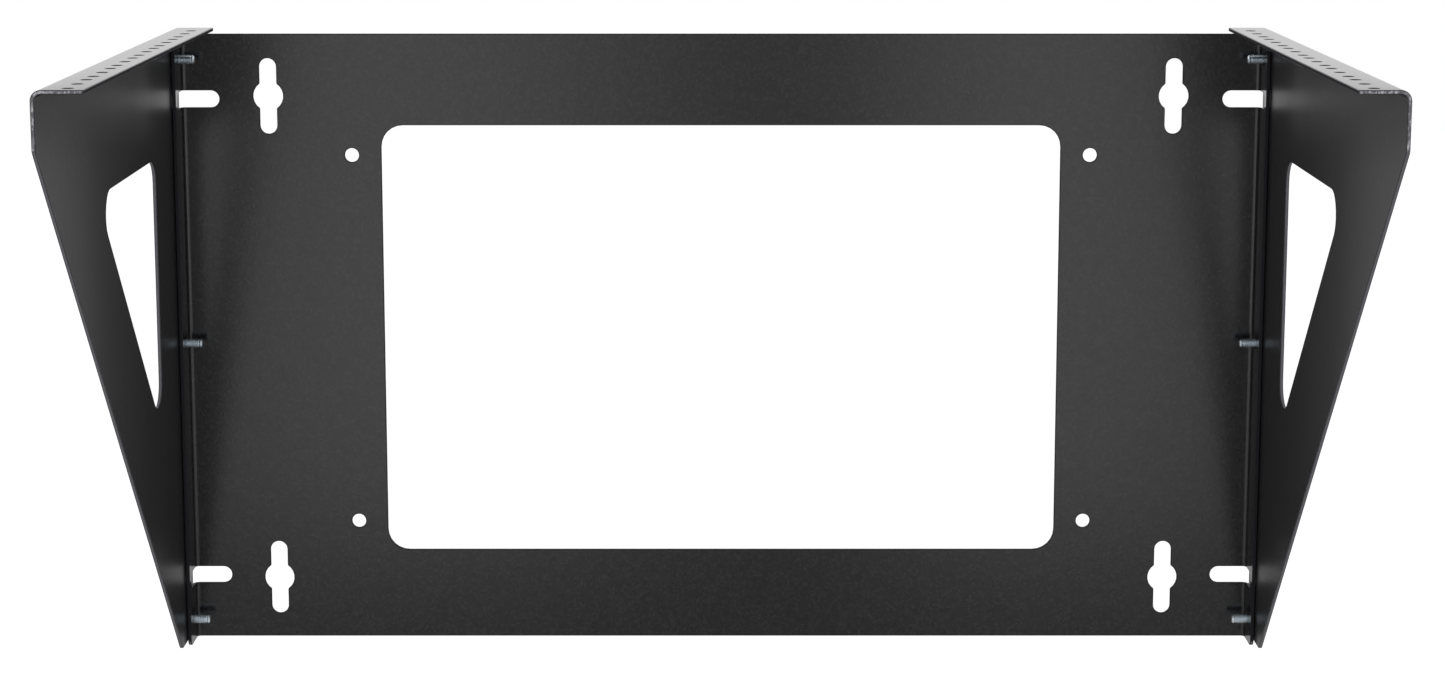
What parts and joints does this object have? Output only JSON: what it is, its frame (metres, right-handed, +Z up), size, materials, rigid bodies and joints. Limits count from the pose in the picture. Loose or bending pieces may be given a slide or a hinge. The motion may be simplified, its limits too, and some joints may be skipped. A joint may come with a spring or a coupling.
{
  "type": "wall mount open frame rack",
  "caption": "Vertical wall bracket for 19-inch equipment: a windowed back plate with keyholes, and two tapered side brackets with drilled rack rails.",
  "frame": {"origin": "on the wall face of the back plate, midway between the two upper keyholes", "axes": "+X to the right seen from the front, +Y into the wall, +Z up; the rack reaches towards -Y"},
  "size_m": [0.4964, 0.2867, 0.2815],
  "materials": {
    "powder_coated_steel": "fine-textured satin black powder coat",
    "zinc_plated_steel": "bright zinc plate"
  },
  "bodies": {
    "root": {"back_plate": "powder_coated_steel", "left_bracket": "powder_coated_steel", "right_bracket": "powder_coated_steel", "screw_left_top": "zinc_plated_steel", "screw_left_middle": "zinc_plated_steel", "screw_left_bottom": "zinc_plated_steel", "screw_right_top": "zinc_plated_steel", "screw_right_middle": "zinc_plated_steel", "screw_right_bottom": "zinc_plated_steel"}
  },
  "joints": []
}
